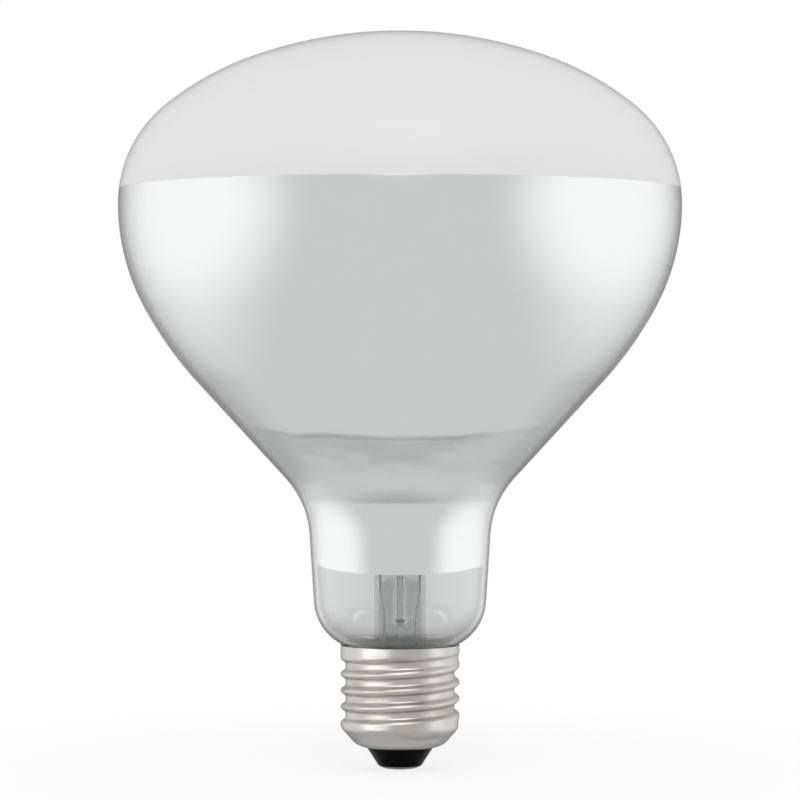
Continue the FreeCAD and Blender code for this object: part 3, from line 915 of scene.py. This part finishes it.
class HEATLAMP_OT_filament(bpy.types.Operator):
    """Wind the tungsten coil and bend it to its open ring"""

    bl_idname = "heatlamp.filament"
    bl_label = "Filament"

    def execute(self, context):
        sizes = context.scene.heat_lamp_filament
        around = 2 * math.pi - sizes.gap
        run = around * sizes.ring
        middle = sizes.coil - sizes.wire
        bpy.ops.object.select_all(action="DESELECT")
        bpy.ops.mesh.primitive_circle_add(
            vertices=sizes.wire_sides, radius=sizes.wire, location=(0, 0, 0)
        )
        piece = context.object
        piece.name = piece.data.name = "tungsten_coil"
        bpy.ops.object.mode_set(mode="EDIT")
        bpy.ops.mesh.select_all(action="SELECT")
        upright = math.pi / 2
        bpy.ops.transform.rotate(value=upright, orient_axis="X", center_override=(0, 0, 0))
        bpy.ops.transform.translate(value=(middle, 0, 0))
        bpy.ops.object.mode_set(mode="OBJECT")
        winding = piece.modifiers.new("winding", "SCREW")
        winding.screw_offset = run / sizes.turns
        winding.iterations = sizes.turns
        winding.steps = winding.render_steps = sizes.turn_steps
        winding.use_smooth_shade = True
        bpy.ops.object.modifier_apply(modifier=winding.name)
        level = (COIL_LOW.z + COIL_HIGH.z) / 2
        for vertex in piece.data.vertices:
            along = sizes.gap / 2 - math.pi / 2 + vertex.co.z / sizes.ring
            reach = sizes.ring + vertex.co.x
            vertex.co = (reach * math.cos(along), reach * math.sin(along), level + vertex.co.y)
        bpy.ops.object.mode_set(mode="EDIT")
        bpy.ops.mesh.select_all(action="SELECT")
        bpy.ops.mesh.normals_make_consistent(inside=False)
        bpy.ops.object.mode_set(mode="OBJECT")
        piece.data.materials.append(finish_named("tungsten"))
        finish_piece(piece, "filament", "filament_coil")
        return {"FINISHED"}


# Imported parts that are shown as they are

PACKED_FINISHES = {
    "side_solder": "solder",
    "basing_cement": "cement",
    "stem_flare": "stem_glass",
    "exhaust_tube": "exhaust_glass",
    "glass_arbor": "exhaust_glass",
    "seal_wire_left": "copper_wire",
    "seal_wire_right": "copper_wire",
    "outer_lead_centre": "lead_wire",
    "outer_lead_side": "lead_wire",
    "inner_lead_left": "nickel_wire",
    "inner_lead_right": "nickel_wire",
    "support_wire_1": "molybdenum",
    "support_wire_2": "molybdenum",
    "support_wire_3": "molybdenum",
    "support_wire_4": "molybdenum",
    "support_wire_5": "molybdenum",
}


class HEATLAMP_OT_packed(bpy.types.Operator):
    """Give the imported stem, wires, solder and cement their materials"""

    bl_idname = "heatlamp.packed"
    bl_label = "Stem and wires"

    def execute(self, context):
        for node, finish in PACKED_FINISHES.items():
            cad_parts[node].material_slots[0].material = finish_named(finish)
        return {"FINISHED"}


# Studio

WHITE = (1.0, 1.0, 1.0, 1.0)
CAP_MIDDLE = Vector((0.0, 0.0, 0.018))

# Each lamp of the cap: its name, place, width and share of the power
CAP_LAMPS = (
    ("cap_light_left", Vector((-0.33, -0.29, 0.05)), 0.5, 1.15),
    ("cap_light_right", Vector((0.4, -0.1, 0.03)), 0.22, 0.16),
)
CAP_LAMP_HEIGHT = 0.3


def glow(tree, direction, azimuth, height, core, edge, brightness):
    """A soft round glow in a direction; a negative brightness gives a shade."""
    level = math.cos(height)
    away = (math.sin(azimuth) * level, -math.cos(azimuth) * level, math.sin(height))
    both = {0: direction, 1: away}
    towards = add_node(tree, "ShaderNodeVectorMath", both, operation="DOT_PRODUCT").outputs["Value"]
    return change(tree, towards, math.cos(edge), math.cos(core), high=brightness)


def light_surroundings(settings):
    """Pale surroundings that the camera sees plain white.

    Soft lights stand at both sides and in front. Behind the lamp the room is dimmer round a lit
    backdrop, and dimmer low down.
    """
    world = bpy.data.worlds.new("studio")
    bpy.context.scene.world = world
    world.use_nodes = True
    tree = world.node_tree
    tree.nodes.clear()
    direction = add_node(tree, "ShaderNodeTexCoord").outputs["Generated"]
    flatter = {0: direction, 1: (1.0, 1.0, settings.side_steep)}
    steep = add_node(tree, "ShaderNodeVectorMath", flatter, operation="MULTIPLY").outputs[0]
    level = add_node(tree, "ShaderNodeVectorMath", {0: steep}, operation="NORMALIZE").outputs[0]

    side, side_core, side_edge = settings.side_azimuth, settings.side_core, settings.side_edge
    front_height, front_core, front_edge = settings.front_height, 0.2, settings.front_edge
    back, back_height = math.pi, -0.04
    low_height, low_edge = -0.7, 0.66
    lit_core, lit_edge, shade_core, shade_edge = (
        width * settings.backdrop for width in (0.5, 1.65, 1.4, 4)
    )
    shade, lit = -settings.back_shade, 0.83 * settings.back_shade
    total = settings.wall
    for part in (
        glow(tree, level, -side, 0.0, side_core, side_edge, settings.side_light),
        glow(tree, level, side, 0.0, side_core, side_edge, settings.side_light),
        glow(tree, direction, 0.0, front_height, front_core, front_edge, settings.front_light),
        glow(tree, direction, back, back_height, shade_core, shade_edge, shade),
        glow(tree, direction, back, back_height, lit_core, lit_edge, lit),
        glow(tree, direction, back, low_height, side_core, low_edge, -settings.low_shade),
    ):
        total = maths(tree, "ADD", total, part)
    studio = add_node(tree, "ShaderNodeBackground", {"Color": WHITE, "Strength": total})
    white = add_node(tree, "ShaderNodeBackground", {"Color": WHITE, "Strength": 1.0})
    seen = add_node(tree, "ShaderNodeLightPath").outputs["Is Camera Ray"]
    shown = mixed(tree, seen, studio, white)
    add_node(tree, "ShaderNodeOutputWorld", {"Surface": shown.outputs[0]})


def floor_material(settings):
    """A pale matt floor that mirrors don't show.

    The camera sees it nearly white with the lamp's shadow, and plain white at its edge.
    """
    material = bpy.data.materials.new("studio_floor")
    material.use_nodes = True
    tree = material.node_tree
    tree.nodes.clear()
    matt = add_node(tree, "ShaderNodeBsdfDiffuse", {"Color": (*settings.floor, 1.0)})
    bright = add_node(tree, "ShaderNodeBsdfDiffuse", {"Color": (0.97, 0.97, 0.97, 1.0)})
    white = add_node(tree, "ShaderNodeEmission", {"Strength": 1.0})
    clear_through = add_node(tree, "ShaderNodeBsdfTransparent")
    place = add_node(tree, "ShaderNodeTexCoord").outputs["Object"]
    away = add_node(tree, "ShaderNodeVectorMath", {0: place}, operation="LENGTH").outputs["Value"]
    near, far = 0.2 * settings.floor_radius, 0.9 * settings.floor_radius
    lit = mixed(tree, change(tree, away, near, far, settings.floor_white, 1.0), bright, white)
    path = add_node(tree, "ShaderNodeLightPath").outputs
    plain = mixed(tree, path["Is Glossy Ray"], matt, clear_through)
    shown = mixed(tree, path["Is Camera Ray"], plain, lit)
    add_node(tree, "ShaderNodeOutputMaterial", {"Surface": shown.outputs[0]})
    return material


def light_cap(receivers, name, place, width, power):
    """A soft lamp that lights only the cap."""
    towards_cap = (CAP_MIDDLE - place).to_track_quat("-Z", "Y").to_euler()
    bpy.ops.object.light_add(type="AREA", location=place, rotation=towards_cap)
    lamp = bpy.context.object
    lamp.name = name
    lamp.data.shape = "ELLIPSE"
    lamp.data.size = width
    lamp.data.size_y = CAP_LAMP_HEIGHT
    lamp.data.energy = power
    lamp.light_linking.receiver_collection = receivers


class HEATLAMP_OT_studio(bpy.types.Operator):
    """Set up the pale floor, the soft surroundings, the cap's lamps and the camera"""

    bl_idname = "heatlamp.studio"
    bl_label = "Studio"

    def execute(self, context):
        settings = context.scene.heat_lamp_studio
        bpy.ops.object.select_all(action="DESELECT")
        bpy.ops.mesh.primitive_circle_add(
            vertices=settings.floor_sides,
            radius=settings.floor_radius,
            fill_type="NGON",
            location=(0, 0, -settings.floor_gap),
        )
        floor = context.object
        floor.name = "studio_floor"
        floor.data.materials.append(floor_material(settings))
        light_surroundings(settings)

        cap_only = bpy.data.collections.new("cap_only")
        cap_only.objects.link(bpy.data.objects["screw_cap"])
        for name, place, width, power in CAP_LAMPS:
            light_cap(cap_only, name, place, width, power * settings.cap_light)

        eye = Vector((0.0, -settings.distance, settings.eye_level))
        aim = Vector((0.0, 0.0, settings.aim_level))
        towards_aim = (aim - eye).to_track_quat("-Z", "Y").to_euler()
        bpy.ops.object.camera_add(location=eye, rotation=towards_aim)
        camera = context.object
        camera.data.sensor_width = 36.0
        camera.data.lens = settings.lens
        camera.data.clip_start = 0.01
        context.scene.camera = camera
        context.scene.view_settings.view_transform = "Standard"
        return {"FINISHED"}


class HEATLAMP_PT_panel(bpy.types.Panel):
    """The steps that build the lamp, in their order"""

    bl_idname = "HEATLAMP_PT_panel"
    bl_label = "Heat Lamp"
    bl_space_type = "VIEW_3D"
    bl_region_type = "UI"
    bl_category = "Heat Lamp"

    def draw(self, context):
        for step in STEPS:
            self.layout.operator(step.bl_idname)
        for key in GROUPS:
            group = getattr(context.scene, key)
            box = self.layout.box()
            for name in group.bl_rna.properties.keys():
                if name not in ("rna_type", "name"):
                    box.prop(group, name)


GROUPS = {
    "heat_lamp_bulb": BulbSizes,
    "heat_lamp_cap": CapSizes,
    "heat_lamp_filament": FilamentSizes,
    "heat_lamp_finishes": Finishes,
    "heat_lamp_studio": StudioSettings,
}
STEPS = (
    HEATLAMP_OT_finishes,
    HEATLAMP_OT_glass,
    HEATLAMP_OT_film,
    HEATLAMP_OT_cap,
    HEATLAMP_OT_insulator,
    HEATLAMP_OT_contact,
    HEATLAMP_OT_filament,
    HEATLAMP_OT_packed,
    HEATLAMP_OT_studio,
)


def register():
    for group in GROUPS.values():
        bpy.utils.register_class(group)
    for key, group in GROUPS.items():
        setattr(bpy.types.Scene, key, PointerProperty(type=group))
    for step in (*STEPS, HEATLAMP_PT_panel):
        bpy.utils.register_class(step)


def unregister():
    for step in (HEATLAMP_PT_panel, *reversed(STEPS)):
        bpy.utils.unregister_class(step)
    for key, group in reversed(GROUPS.items()):
        delattr(bpy.types.Scene, key)
        bpy.utils.unregister_class(group)


def main():
    register()
    bpy.ops.heatlamp.finishes()
    bpy.ops.heatlamp.glass()
    bpy.ops.heatlamp.film()
    bpy.ops.heatlamp.cap()
    bpy.ops.heatlamp.insulator()
    bpy.ops.heatlamp.contact()
    bpy.ops.heatlamp.filament()
    bpy.ops.heatlamp.packed()
    bpy.ops.heatlamp.studio()


if __name__ == "__main__":
    main()
